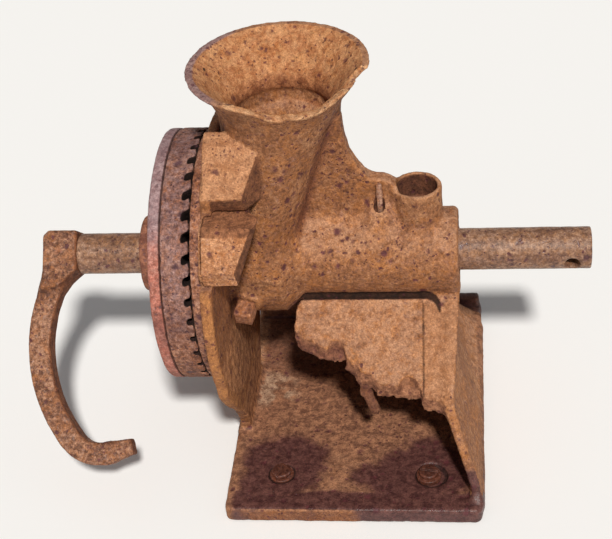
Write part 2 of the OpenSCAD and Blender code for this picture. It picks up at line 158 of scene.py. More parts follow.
def nets(f, g):
    """Closed quad mesh of the zero surface."""
    s = f < 0
    cnt = np.zeros(tuple(np.array(f.shape) - 1), np.int8)
    sh = [(a, b, c) for a in (0, 1) for b in (0, 1) for c in (0, 1)]
    n = f.shape
    for a, b, c in sh:
        cnt += s[a:n[0] - 1 + a, b:n[1] - 1 + b, c:n[2] - 1 + c]
    act = (cnt > 0) & (cnt < 8)
    idx = np.argwhere(act)
    vid = np.full(act.shape, -1, np.int32)
    vid[act] = np.arange(len(idx), dtype=np.int32)
    vals = np.stack([f[idx[:, 0] + a, idx[:, 1] + b, idx[:, 2] + c] for a, b, c in sh], 1)
    pos, num = np.zeros((len(idx), 3)), np.zeros(len(idx))
    for i in range(8):
        for j in range(i + 1, 8):
            if sum(abs(p - q) for p, q in zip(sh[i], sh[j])) != 1:
                continue
            va, vb = vals[:, i], vals[:, j]
            m = (va < 0) != (vb < 0)
            t = np.where(m, va / np.where(m, va - vb, 1), 0)
            a, b = np.array(sh[i], float), np.array(sh[j], float)
            pos += m[:, None] * (a + t[:, None] * (b - a))
            num += m
    verts = g.lo + g.h * (idx + pos / num[:, None])
    quads = []
    for axis in range(3):
        lo = [slice(1, -1)] * 3
        hi = [slice(1, -1)] * 3
        lo[axis], hi[axis] = slice(0, -1), slice(1, None)
        s0 = s[tuple(lo)]
        e = np.argwhere(s0 != s[tuple(hi)])
        ins = s0[tuple(e.T)]
        base = e.copy()
        # the sliced axes start one further in
        steps = {0: [(0, 0, 0), (0, 1, 0), (0, 1, 1), (0, 0, 1)],
                 1: [(0, 0, 0), (0, 0, 1), (1, 0, 1), (1, 0, 0)],
                 2: [(0, 0, 0), (1, 0, 0), (1, 1, 0), (0, 1, 0)]}[axis]
        q = np.stack([vid[base[:, 0] + a, base[:, 1] + b, base[:, 2] + c] for a, b, c in steps], 1)
        q[~ins] = q[~ins][:, ::-1]
        quads.append(q)
    return verts, np.concatenate(quads)

def normals(v, q):
    n = np.cross(v[q[:, 2]] - v[q[:, 0]], v[q[:, 3]] - v[q[:, 1]])
    out = np.stack([np.bincount(q.ravel(), np.repeat(n[:, k], 4), len(v)) for k in range(3)], 1)
    return out / (np.linalg.norm(out, axis=1)[:, None] + 1e-12)

def relax(v, q, times, lam=0.5):
    e = np.concatenate([q[:, [0, 1]], q[:, [1, 2]], q[:, [2, 3]], q[:, [3, 0]]])
    a, b = e[:, 0], e[:, 1]
    deg = np.bincount(a, minlength=len(v)) + np.bincount(b, minlength=len(v))
    for _ in range(times):
        acc = np.stack([np.bincount(a, v[b, k], len(v)) + np.bincount(b, v[a, k], len(v)) for k in range(3)], 1)
        v = v + lam * (acc / np.maximum(deg, 1)[:, None] - v)
    return v

def sample(f, g, p):
    i = np.clip(np.rint((p - g.lo) / g.h).astype(int), 0, g.n - 1)
    return f[i[:, 0], i[:, 1], i[:, 2]]

def mesh_object(name, v, q, attrs=None):
    me = bpy.data.meshes.new(name)
    me.vertices.add(len(v))
    me.vertices.foreach_set("co", (v * 0.001).astype(F32).ravel())
    me.loops.add(q.size)
    me.loops.foreach_set("vertex_index", q.astype(np.int32).ravel())
    me.polygons.add(len(q))
    me.polygons.foreach_set("loop_start", np.arange(0, q.size, 4, dtype=np.int32))
    me.polygons.foreach_set("use_smooth", np.ones(len(q), bool))
    me.update(calc_edges=True)
    me.validate()
    for key, val in (attrs or {}).items():
        at = me.attributes.new(key, "FLOAT", "POINT")
        at.data.foreach_set("value", np.clip(val, 0, 1).astype(F32))
    ob = bpy.data.objects.new(name, me)
    bpy.context.scene.collection.objects.link(ob)
    return ob

def piece(name, node, f, g, body, rough=0.25, pits=0.0, seed=1, soft=1, extra=None):
    """Mesh of a distance field with a rough cast skin and masks for its material."""
    f = np.broadcast_to(f, tuple(g.n)).astype(F32)
    v, q = nets(f, g)
    v = relax(v, q, soft)
    n = normals(v, q)
    p = v.astype(F32)
    # occlusion from the field, mixed into the material as painted shade in recesses
    ao = np.clip(1 - sample(f, g, v + n * 4.0) / 4.0, 0, 1) * 0.5 + np.clip(1 - sample(f, g, v + n * 9.0) / 9.0, 0, 1) * 0.5
    edge = np.clip(1 + sample(f, g, v - n * 3.0) / 3.0, 0, 1)
    d = rough * (0.55 * fbm(p, 9.0, seed, 2) + 0.6 * fbm(p, 3.2, seed + 5, 2, 0.6))
    if pits:
        w = smooth(fbm(p, 26.0, seed + 40, 2), -0.1, 0.5)
        d = d - pits * w * smooth(vnoise(p, 4.2, seed + 60), 0.25, 0.7)
    attrs = {"ao": ao, "edge": edge, "up": np.clip(n[:, 2], 0, 1)}
    if extra:
        more, dd = extra(p, n)
        attrs.update(more)
        d = d + dd
    v = np.clip(v + n * d[:, None], np.array(cad_box[0]) * 1000, np.array(cad_box[1]) * 1000)
    ob = mesh_object(name, v, q, attrs)
    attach(ob, body)
    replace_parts(ob, *([node] if isinstance(node, str) else node))
    return ob

# ---------------------------------------------------------------- mill body
PLATE = [(-28, -8), (-28.2, -21.6), (-32.4, -25), (-33, -30), (-33.5, -36.2), (-31, -37.7), (-24.8, -40.1), (-19.5, -42), (-14.2, -43.6), (-2.4, -44),
         (-3.4, -46.7), (0.1, -48.9), (4, -51.2), (7.8, -52.7), (12.7, -55), (16.3, -58.3), (22.8, -59.2), (28.7, -59.7), (41.7, -59.7), (42.6, -62.9),
         (47.2, -64.1), (53.1, -65.3), (58.5, -67.4), (60, -62), (63, -40), (64, -8)]
LEG = [(-74, 82), (-61, 62), (-46, 43), (-36, 29), (-31, 18), (-29, 6), (29, 6), (31, 18), (36, 29), (46, 43), (61, 62), (74, 82)]
OUTER = [(65.5, AX), (65.5, 112), (64.8, 104), (63.6, 90), (62.6, 78), (62.0, 68), (62.6, 62), (65.6, 52), (69.2, 42), (72.6, 31.6), (75.8, 22.5), (77.3, 16.3), (78, 8)]
FLANK = OUTER + [(x - 6, z) for x, z in OUTER[::-1]]
OUTER2 = [(65.5, AX), (65.5, 112), (63.5, 104), (61.2, 90), (60, 78), (59.4, 68), (59.2, 62), (59.4, 52), (60.4, 42), (62.6, 31.6), (66.6, 22.5), (71.6, 16.3), (78, 8)]
FLANK2 = OUTER2 + [(x - 6, z) for x, z in OUTER2[::-1]]
FLANKY = [(-24, AX), (-20.5, 113.5), (-67, 67), (-93, 10), (-93, 6), (77, 6), (77, 10), (66, 67), (20.5, 113.5), (24, AX)]
REAR = [(16, 118), (67, 67), (93, 10), (93, 6), (85, 6), (85, 10), (61, 61.7), (8, 114.7)]
FIN = [(-46, 150), (-46, 190), (-14, 236), (0.5, 236), (1.2, 226), (2, 214), (4.4, 202), (9, 193), (14, 187), (18, 185), (23, 184.6), (27, 183), (31, 179), (34, 150)]
LUG = [(-20, 230), (-31, 226.5), (-36, 222), (-51, 203.5), (-48, 194.2), (-30, 194.2), (-20, 200)]
LUG_PLAN = [(-74.5, -20), (-74.5, -60), (-57.2, -60), (-43.5, -36), (-34.4, -20)]
WEDGE_PLAN = [(-74.5, -38), (-74.5, -80), (-57.4, -80), (-47.5, -65), (-43.5, -58), (-43.5, -52), (-50, -46), (-50, -38)]
SHELL = [(-1, 226), (33.6, 226), (34.9, 231), (36.8, 237), (39.2, 243.5), (43, 250), (48, 255.8), (51.6, 258.4), (51.2, 259.8), (46.8, 259.8), (45.8, 258.3), (-1, 258.3)]
HOLLOW = [(-1, 222), (26, 222), (26.4, 230), (27.8, 236), (30.4, 240.4), (34.2, 245.4), (38.6, 251), (43, 256), (46.2, 258.8), (46.6, 260.8), (46.6, 266), (-1, 266)]
NECK_Z, NECK_R, NECK_L, NECK_Y = [140, 204, 231], [-32.6, -11.6, -2.4], [-70.1, -68.6, -67.6], [36, 34.6, 34.6]
CREASE = 43.9
BREAK1 = [(-57, 262), (-47, 257), (-43, 255.5), (-39, 253), (-36.5, 252.5), (-34, 250), (-28, 248), (-24, 249.6), (-20, 248.4), (-14, 246.4), (-9, 246),
          (-3.5, 248), (2, 251), (6, 253), (30, 253), (30, 275), (-57, 275)]
BREAK2 = [(9, 253), (16, 253.5), (18.5, 256.5), (30, 257), (30, 275), (9, 275)]

def wedge_field(g, grow=0.0):
    a = poly2(g.Y, g.Z, [(-38, 193.5), (-63, 192.6), (-65, 191), (-78, 173), (-76, 163), (-38, 163)])
    b = poly2(g.X, g.Y, WEDGE_PLAN)
    c = poly2(g.X, g.Z, [(-76, 160), (-56, 160), (-43.1, 194), (-76, 194)])
    return pair(pair(a, b, 0.7), c, 0.7) - grow

def screw_axes(g):
    """Coordinates across and along the leaning set screw."""
    a, b = math.radians(112), math.radians(-12)
    x, y, z = g.X + 52, g.Y, g.Z - AX
    w = -y * math.sin(a) + z * math.cos(a)
    return x * math.cos(b) - w * math.sin(b), y * math.cos(a) + z * math.sin(a), x * math.sin(b) + w * math.cos(b)

def groove_dist(x, y, z):
    """Distance to the narrow groove along the top of the plate, turning down at its right end."""
    s = -((y + 20.6) + (z - 112.4)) * F32(0.70710678)
    n = ((z - 112.4) - (y + 20.6)) * F32(0.70710678)
    d = None
    pts = [(-31, 2.0, -1.2), (-27, 0, 0.2), (46, 0, 0.2), (50.5, 1.6, 0.0), (53, 5.0, -0.5), (54, 10.0, -1.4)]
    for (x0, s0, r0), (x1, s1, r1) in zip(pts[:-1], pts[1:]):
        dx, ds = x1 - x0, s1 - s0
        t = np.clip(((x - x0) * dx + (s - s0) * ds) / (dx * dx + ds * ds), 0, 1)
        e = np.sqrt((x - x0 - t * dx) ** 2 + (s - s0 - t * ds) ** 2 + n * n) - (r0 + t * (r1 - r0))
        d = e if d is None else np.minimum(d, e)
    return d

def mill_field(g, h):
    X, Y, Z = g.X, g.Y, g.Z
    R = np.sqrt((X - HX) ** 2 + Y ** 2)
    # foot
    qx, qy = np.abs(X) - 73, np.abs(Y) - 95
    flat = np.sqrt(np.maximum(qx, 0) ** 2 + np.maximum(qy, 0) ** 2) + np.minimum(np.maximum(qx, qy), 0) - 5
    foot = pair(flat, span(Z, 0, 11), 2.2)
    lip = box(g, (-77, 93, 4), (77, 100, 20), 2.0)
    foot = smin(foot, lip, 4)
    # walls
    disc = np.sqrt(Y ** 2 + (Z - AX) ** 2) - 89
    wall2 = smin(disc, poly2(Y, Z, LEG), 14)
    left = pair(wall2, span(X, -76, -69.5), 1.2)
    # the right wall flares evenly in front and tightly at the rear
    wr = smooth(Y, -30, 64)
    lean = [np.interp(Z, [p[1] for p in o[::-1]], [p[0] for p in o[::-1]]) for o in (OUTER, OUTER2)]
    face = lean[0] * (1 - wr) + lean[1] * wr
    right = pair(np.maximum(X - face, face - 6.0 - X) * 0.95, poly2(Y, Z, FLANKY), 1.8)
    # inner return that closes the corner to the rear plate
    back = pair(poly2(X, Z, [(x - 3, z) for x, z in FLANK2]), poly2(Y, Z, [(60, 6), (90, 6), (90, 10), (66, 63), (60, 63)]), 1.2)
    right = smin(right, back, 2)
    rear = np.maximum(poly2(Y, Z, REAR), np.maximum(-75.5 - X, np.maximum(X - 57, poly2(X, Z, OUTER + [(-76, 8), (-76, AX)]) + 1)))
    # what is left of the sloped front plate
    plate2 = poly2(X, Y, PLATE)
    crease = 1.1 * smooth(X, CREASE - 0.4, CREASE + 0.4)
    skin = (Z - Y - 134) * F32(0.70710678) + crease
    plate = pair(plate2, span(skin, -8, 0), 0.6)
    # half of two blind bolt seats
    seats = np.minimum(np.sqrt((X + 8.3) ** 2 + (Y + 45.6) ** 2) - 5.6, np.sqrt((X - 35.2) ** 2 + (Y + 61.4) ** 2) - 6.0)
    plate = smax(plate, -np.maximum(seats, -4.8 - skin), 0.6)
    # bent stub of a rod below it
    ux, uz = math.sin(math.radians(163)), math.cos(math.radians(163))
    along = np.clip((X - 9) * ux + (Z - 62) * uz, 0, 15.5)
    stub = np.sqrt((X - 9 - ux * along) ** 2 + (Y + 50) ** 2 + (Z - 62 - uz * along) ** 2) - 3.3
    stub = smin(stub, zcyl(g, 9, -50, 60, 80, 3.8), 2)
    # barrel and chamber
    rad = np.sqrt(Y ** 2 + (Z - AX) ** 2)
    prof = np.interp(X, [-90, -38, -26, 90], [36, 36, 26, 26]).astype(F32)
    barrel = pair(rad - prof, span(X, -70.5, 65.5), 3.2)
    # neck
    rgt = np.interp(Z, NECK_Z, NECK_R).astype(F32)
    lft = np.interp(Z, NECK_Z, NECK_L).astype(F32)
    cx, hx, hy = (rgt + lft) / 2, (rgt - lft) / 2, np.interp(Z, NECK_Z, NECK_Y).astype(F32)
    k0 = np.sqrt(((X - cx) / hx) ** 2 + (Y / hy) ** 2) + 1e-4
    k1 = np.sqrt(((X - cx) / hx ** 2) ** 2 + (Y / hy ** 2) ** 2) + 1e-6
    neck = np.maximum(k0 * (k0 - 1) / k1, span(Z, 138, 231))
    # the bowl grows out of the oval neck and is round at the rim
    cb = np.interp(Z, [226, 248], [-35, HX]).astype(F32)
    ab = np.interp(Z, [226, 248], [1.061, 1.0]).astype(F32)
    shell = table2(np.sqrt(((X - cb) * ab) ** 2 + Y ** 2), Z + 0 * R, SHELL, -2, 120, 180, 300)
    fin = pair(poly2(X, Z, FIN), np.abs(Y) - 5.0, 1.6)
    lug = pair(poly2(Y, Z, LUG), poly2(X, Y, LUG_PLAN), 1.0)
    cup = zcyl(g, 42, 0, 146, 178, 14.6, 1.2)
    su, sv, al = screw_axes(g)
    ac = np.sqrt(su ** 2 + sv ** 2)
    boss = pair(ac - 7.5, span(al, 30, 37.6), 1.0)
    # unions with cast fillets
    top = smin(shell, neck, 3)
    top = smin(top, fin, 4.5)
    top = smin(top, barrel, 9)
    top = smin(top, cup, 5)
    pegb = pair(np.sqrt((X - 20.5) ** 2 + (Y + 3.5) ** 2) - (5.2 + 0.55 * np.maximum(170 - Z, 0)), span(Z, 146, 169.5), 2.0) * F32(0.85)
    top = smin(top, pegb, 5)
    top = smin(top, boss, 4)
    low = smin(foot, rear, 6)
    low = smin(low, right, 6)
    low = smin(low, plate, 4)
    low = smin(low, stub, 3)
    low = smin(low, left, 5)
    body = smin(low, top, 2.4)
    body = smin(body, lug, 1.2)
    # narrow groove where the plate meets the barrel
    body = smax(body, -(groove_dist(X, Y, Z) - 1.8), 0.8)
    # hollows
    hollow = table2(R + 0 * Z, Z + 0 * R, HOLLOW, -2, 120, 180, 300)
    tt = np.clip((226 - Z) / 55.0, 0, 1)
    thr = np.maximum(np.sqrt((X - (HX - 24.6 * tt)) ** 2 + Y ** 2) - (26 - 16.5 * tt), span(Z, AX, 226))
    body = smax(body, -smin(hollow, thr, 8), 1.0)
    body = np.maximum(body, -xcyl(g, -80, -44, 29))
    body = np.maximum(body, -xcyl(g, -45, -39.9, 14))
    body = np.maximum(body, -xcyl(g, -40, -22, 16.5))
    body = np.maximum(body, -xcyl(g, -22.1, 70, 19.5))
    body = smax(body, -zcyl(g, 42, 0, 162, 190, 11.8), 1.0)
    body = smax(body, -zcyl(g, 20.2, -7.4, 165, 178, 3.0), 0.5)
    body = np.maximum(body, -zcyl(g, 20.5, -6.6, 146, 176, 1.7))
    body = np.maximum(body, -pair(ac - 4, span(al, 20, 50)))
    for sx in (-1, 1):
        for sy in (-1, 1):
            body = np.maximum(body, -zcyl(g, sx * 45.5, sy * 70, -5, 20, 4.5))
    body = smax(body, -zcyl(g, -45.5, -70, 10, 16, 8.2), 0.8)
    body = smax(body, -zcyl(g, 47.1, -70, 8.6, 16, 10), 1.6)
    body = np.maximum(body, -wedge_field(g, 0.15))
    trim = np.maximum(poly2(Y, Z, [(-64.5, 191.7), (-78.2, 172.8), (-76.4, 163), (-100, 163), (-100, 215), (-41.4, 215), (-51.2, 203.4), (-52, 193.2)]), span(X, -80, -67))
    body = np.maximum(body, -trim)
    return body, dict(plate2=plate2, skin=skin)

def break_field(g, p):
    """Distance to the broken-away front of the hopper rim, at points."""
    x, y, z = p[:, 0], p[:, 1], p[:, 2]
    a = np.maximum(poly2(x, z, BREAK1), np.maximum(y + 6, -70 - y))
    b = np.maximum(poly2(x, z, BREAK2), np.maximum(y + 6, -34 - y))
    return np.minimum(a, b)

def make_mill(h):
    g = Grid((-84, -100, 0), (78, 100, 260), h)
    f, aux = mill_field(g, h)
    f = np.broadcast_to(f, tuple(g.n)).astype(F32).copy()
    # broken rim, with a ragged edge
    zi = g.Z.ravel() > 240
    sub = np.stack(np.meshgrid(g.X.ravel(), g.Y.ravel(), g.Z.ravel()[zi], indexing="ij"), -1).reshape(-1, 3).astype(F32)
    br = break_field(g, sub) + 0.9 * fbm(sub, 7.0, 3, 3, 0.6)
    blk = f[:, :, zi].ravel()
    f[:, :, zi] = np.maximum(blk, -br).reshape(f[:, :, zi].shape)
    # ragged fracture of the sloped plate
    yi, zi = g.Y.ravel() < 0, (g.Z.ravel() > 52) & (g.Z.ravel() < 126)
    blk = f[:, yi][:, :, zi]
    sub = np.stack(np.meshgrid(g.X.ravel(), g.Y.ravel()[yi], g.Z.ravel()[zi], indexing="ij"), -1).reshape(-1, 3).astype(F32)
    p2 = np.broadcast_to(aux["plate2"][:, yi], blk.shape).ravel()
    sk = np.broadcast_to(aux["skin"][:, yi][:, :, zi], blk.shape).ravel()
    near = smooth(-p2, 5.0, 0.0) * (p2 < 6) * (sk > -11) * (sk < 3) * (sub[:, 1] < -24) * smooth(sub[:, 0], 60, 54)
    ids = np.nonzero(near > 0)[0]
    add = np.zeros(len(near), F32)
    add[ids] = near[ids] * (0.62 * fbm(sub[ids], 5.0, 9, 3, 0.68) + 0.12)
    blk = blk + add.reshape(blk.shape)
    f[np.ix_(np.arange(g.n[0]), np.nonzero(yi)[0], np.nonzero(zi)[0])] = blk

    def extra(p, n):
        x, y, z = p[:, 0], p[:, 1], p[:, 2]
        # broken faces: edge of the plate and of the rim
        sk = (z - y - 134) * 0.7071
        frac = ((np.abs(poly2(x, y, PLATE)) < 3.4) & (sk > -9) & (sk < -0.5) & (y < -23) & (x < 57)) * 1.0
        for hx, hy, hr in ((-8.3, -46.6, 5.6), (35.2, -62.4, 6.0)):
            frac = np.maximum(frac, 0.6 * (np.abs(np.hypot(x - hx, y - hy) - hr) < 1.6) * (sk > -9) * (sk < -0.5))
        brk = np.abs(break_field(g, p) ) < 1.9
        # dark shiny primer round the two bolts and along the front of the foot
        wob = 0.30 * fbm(p, 24, 71, 3) + 0.14 * fbm(p, 6, 72, 2)
        d1 = np.hypot((x + 47) / 29, (y + 66) / 32)
        d2 = np.hypot((x - 40) / 38, (y + 71) / 33)
        band = np.where(n[:, 1] < -0.5, np.clip((x + 2) / 22, -0.6, 0.6), (-84 - y) / 9)
        prim = (z < 13.5) * smooth(np.maximum(np.maximum(1.0 - d1, 1.0 - d2) * (n[:, 1] > -0.5), np.minimum(band, 0.6)) + wob * 0.7, -0.20, 0.36) * smooth(x, -78, -70)
        prim = np.maximum(prim, smooth(x, 58, 63) * smooth(-z, -36, -24) * (n[:, 1] < -0.2) * (y < -70))
        foot = smooth(-z, -14, -12) * (n[:, 2] > 0.3) * np.maximum(smooth(y + 6 * fbm(p, 12, 78, 3), 34, 18), smooth(x, 56, 62))
        prim = np.maximum(prim, 0.8 * (y > 88) * (z < 24) * smooth(x, 40, 60))
        # edge of the flange, grey above and yellower below
        r = np.sqrt(y * y + (z - AX) ** 2)
        strip = smooth(r, 84, 87.5) * (x < -66) * smooth(-z, -168, -160) * (z > 40)
        edge_x = np.interp(z, NECK_Z, NECK_R)
        valley = smooth(np.abs(x - edge_x + 1.5), 7.5, 1.0) * smooth(np.abs(y), 24, 12) * smooth(z, 146, 160) * (z < 232)
        # painted shade: the pedestal's hollow under the plates and the rod stub below the plate darkened
        prong = smooth(np.hypot(x - 11, y + 50), 7, 5) * (z > 40) * (z < 70) * (z - y < 128)
        inner = np.maximum(prong, smooth(x, 60, 56) * smooth(-x, 72, 66) * smooth(y, -62, -40) * (z < 118) * (z > 8) * smooth(-(np.abs(y) + z), -134, -126))
        bowl = smooth(-np.maximum(poly2(np.sqrt((x - HX) ** 2 + y * y), z, HOLLOW), -5), -1.6, -0.6)
        # painted shade: the bowl darkened towards the bottom of its throat
        throat = bowl * smooth(-z, -243, -231)
        rr = np.hypot(x - HX, y)
        mauve = smooth(-x, 56, 70) * smooth(rr, 46.0, 48.0) * smooth(z, 244, 250)
        lugz = np.maximum(poly2(y, z, LUG), poly2(x, y, LUG_PLAN)) < 1.0
        # painted shade: the lug's down-turned end face and right-facing sides darkened; the end face is also a rough
        # fracture
        lug_end_side_shade = lugz * np.maximum(smooth(-n[:, 2], -0.15, 0.1) * (n[:, 1] < -0.4), smooth(n[:, 0], 0.45, 0.7))
        # painted light: the lug's upward faces made lighter
        lug = lugz * smooth(n[:, 2], 0.3, 0.5) * smooth(-x, 40, 46)
        # painted shadow: a near-black line along the groove under the barrel and a fainter one along the plate's crease
        groove = smooth(groove_dist(x, y, z), 3.0, 1.3)
        onplate = (sk > -2.2) * (sk < 1.6) * (y < -24) * (poly2(x, y, PLATE) < 0.5)
        groove = np.maximum(groove, 0.62 * onplate * smooth(np.abs(x - CREASE - 0.3), 1.0, 0.3))
        side = onplate * smooth(x, CREASE, CREASE + 0.6)
        rimfrac = brk * (z > 244) * 1.0
        lwall = smooth(-x, 66, 68) * smooth(n[:, 0], 0.4, 0.7) * smooth(-z, -118, -92) * (z > 13)
        cupin = (np.hypot(x - 42, y) < 12.6) * smooth(z, 158, 160) * smooth(-z, -178.2, -176)
        cupin = np.maximum(cupin, (np.hypot(x - 20.2, y + 7.4) < 3.3) * (z > 158) * (z < 172) * 1.0)
        dusty = foot * smooth(np.hypot((x + 60) / 26, (y - 8) / 24), 1.0, 0.3) * smooth(fbm(p, 9, 77, 3), -0.25, 0.35)
        # painted shade: a dark ring in the recess round each bolt washer, and two near-black dots on the hopper rim
        rb = np.hypot(x - 47.1, y + 70)
        ring = (z < 12.5) * np.maximum(smooth(np.abs(rb - 8.9), 1.6, 0.8), 0.8 * smooth(np.abs(np.hypot(x + 45.5, y + 70) - 8.0), 0.9, 0.3))
        for q, big in (((12.8, -2.9, 255.6), 2.8), ((-73.8, 4.4, 255.6), 1.8)):
            ring = np.maximum(ring, smooth(np.sqrt(((p - np.array(q)) ** 2).sum(1)), big, 0.55 * big))
        thick = np.maximum(valley, 0.75 * smooth(np.hypot(x - 4, z - 200), 24, 6) * (np.abs(y) < 16))
        calm = np.maximum(1.0 * onplate, 0.9 * smooth(x, 55, 58) * smooth(n[:, 0], 0.25, 0.5))
        return {"calm": calm, "thick": thick, "dusty": dusty, "ring": ring, "side": side, "rimfrac": rimfrac, "lwall": lwall, "lug_end_side_shade": lug_end_side_shade, "lug": lug, "groove": groove, "cupin": cupin, "throat": throat, "mauve": mauve, "frac": frac, "prim": prim, "strip": strip, "bowl": bowl, "foot": foot, "inner": inner, "valley": valley}, frac * 0.55 * fbm(p, 3.0, 91, 2)
    return piece("mill_casting", "mill_body", f, g, "frame", rough=0.22, pits=0.34, seed=2, soft=1, extra=extra)

# ---------------------------------------------------------------- crank
CA = math.radians(42.0)
BOW_C, BOW_R, BOW_A0, BOW_A1, RUN, HOOK_R, HOOK_A1 = (-99.3, 56.4), 92.0, 207.0, 145.0, 5.6, 22.0, 75.0

def on_arc(c, r, a):
    return (c[0] + r * math.cos(math.radians(a)), c[1] + r * math.sin(math.radians(a)))

def arc_dir(a):
    return (math.sin(math.radians(a)), -math.cos(math.radians(a)))

def arc_dist(x, s, c, r, a1, a0):
    th = np.degrees(np.arctan2(s - c[1], x - c[0])) % 360
    th = np.radians(np.clip(th, a1, a0))
    return np.sqrt((x - c[0] - r * np.cos(th)) ** 2 + (s - c[1] - r * np.sin(th)) ** 2)

def seg_dist(x, s, a, b):
    ex, ey = b[0] - a[0], b[1] - a[1]
    t = np.clip(((x - a[0]) * ex + (s - a[1]) * ey) / (ex * ex + ey * ey), 0, 1)
    return np.sqrt((x - a[0] - ex * t) ** 2 + (s - a[1] - ey * t) ** 2), t

def make_crank(h):
    g = Grid((-199, -102, 30), (-133, 14, 152), h)
    x = g.X + 0 * g.Y + 0 * g.Z
    s = -g.Y * math.sin(CA) - (g.Z - AX) * math.cos(CA) + 0 * g.X
    t = g.Y * math.cos(CA) - (g.Z - AX) * math.sin(CA) + 0 * g.X
    e1 = on_arc(BOW_C, BOW_R, BOW_A1)
    d1 = arc_dir(BOW_A1)
    h0 = (e1[0] + RUN * d1[0], e1[1] + RUN * d1[1])
    hc = (h0[0] - HOOK_R * math.cos(math.radians(BOW_A1)), h0[1] - HOOK_R * math.sin(math.radians(BOW_A1)))
    he = on_arc(hc, HOOK_R, HOOK_A1)
    d2 = arc_dir(HOOK_A1)
    tip = (he[0] + 16 * d2[0], he[1] + 16 * d2[1])
    bow = np.minimum(arc_dist(x, s, BOW_C, BOW_R, BOW_A1, BOW_A0), seg_dist(x, s, e1, h0)[0])
    hook = arc_dist(x, s, hc, HOOK_R, HOOK_A1, BOW_A1)
    tipd, tt = seg_dist(x, s, he, tip)
    # square bar that thins to its cut end
    bar = pair(bow - 7.0, np.abs(t) - 6.5, 1.5)
    bar = smin(bar, pair(hook - 6.8, np.abs(t) - 6.4, 1.5), 1.0)
    bar = smin(bar, pair(tipd - (6.8 - 1.9 * tt), np.abs(t) - (6.4 - 1.0 * tt), 1.5), 1.5)
    past = (x - tip[0]) * d2[0] + (s - tip[1]) * d2[1]
    bar = smax(bar, past, 1.2)
    boss = pair(poly2(x, s, [(-188.5, -10.5), (-185, -13.6), (-168, -13.6), (-167, -12.6), (-167, 11), (-172, 15), (-179, 21), (-190, 22.5), (-188.5, 12)]),
                np.abs(t) - 12.5, 2.0)
    f = smin(bar, boss, 6)
    f = np.maximum(f, -xcyl(g, -200, -160, 8.0))
    def extra(p, n):
        # painted shade: the crank's faces turned toward +x, away from the light, darkened
        return {"inside": smooth(n[:, 0], 0.35, 0.65)}, 0.0
    return piece("crank_forging", "crank_arm", f, g, "spindle", rough=0.16, pits=0.35, seed=301, soft=1, extra=extra)

# ---------------------------------------------------------------- turned and flat pieces
def make_shaft(h):
    g = Grid((-188, -13, AX - 13), (143.4, 13, AX + 13), h)
    f = np.minimum(xcyl(g, -167, 143.4, 12.5, 1.0), xcyl(g, -188, -160, 8.0, 0.8))
    a = math.radians(-71)
    u = g.Y * math.cos(a) + (g.Z - AX) * math.sin(a)
    f = smax(f, -(np.sqrt((g.X - 132) ** 2 + u ** 2) - 4.5), 0.8)
    f = np.maximum(f, -box(g, (-122, -3, AX + 9.5), (-102, 3, AX + 16)))
    return piece("spindle_bar", "shaft", f, g, "spindle", rough=0.12, pits=0.42, seed=401, soft=1)

def make_carrier(h):
    g = Grid((-125.4, -76.2, AX - 76.2), (-100.2, 76.2, AX + 76.2), h)
    f = xcyl(g, -107.5, -100.2, 76.2, 1.5)
    hub = xcyl(g, -125.4, -103, 23.4, 2.2)
    f = smin(f, hub, 7)
    f = np.maximum(f, -xcyl(g, -130, -95, 12.6))
    f = np.maximum(f, -box(g, (-130, -3, AX + 10), (-95, 3, AX + 15.5)))
    for a in (90, 210, 330):
        y, z = -56 * math.sin(math.radians(a)), AX + 56 * math.cos(math.radians(a))
        f = np.maximum(f, -np.maximum(np.sqrt((g.Y - y) ** 2 + (g.Z - z) ** 2) - 3.2, span(g.X, -112, -95)))
    
    def extra(p, n):
        return {"worn": 0.40 + 0.0 * p[:, 0], "grey": smooth(p[:, 2], AX + 30, AX + 70), "hub": smooth(np.hypot(p[:, 1], p[:, 2] - AX), 34, 29), "seam": smooth(p[:, 0], -101.3, -100.8), "low": smooth(AX - p[:, 2], 38, 66) * smooth(np.hypot(p[:, 1], p[:, 2] - AX), 60, 72)}, 0.0
    return piece("carrier_disc", "burr_carrier", f, g, "spindle", rough=0.18, pits=0.25, seed=501, soft=1, extra=extra)

def burr_holes(g, f, angles, r):
    for a in angles:
        y, z = -56 * math.sin(math.radians(a)), AX + 56 * math.cos(math.radians(a))
        f = np.maximum(f, -(np.sqrt((g.Y - y) ** 2 + (g.Z - z) ** 2) - r + 0 * g.X))
    return f

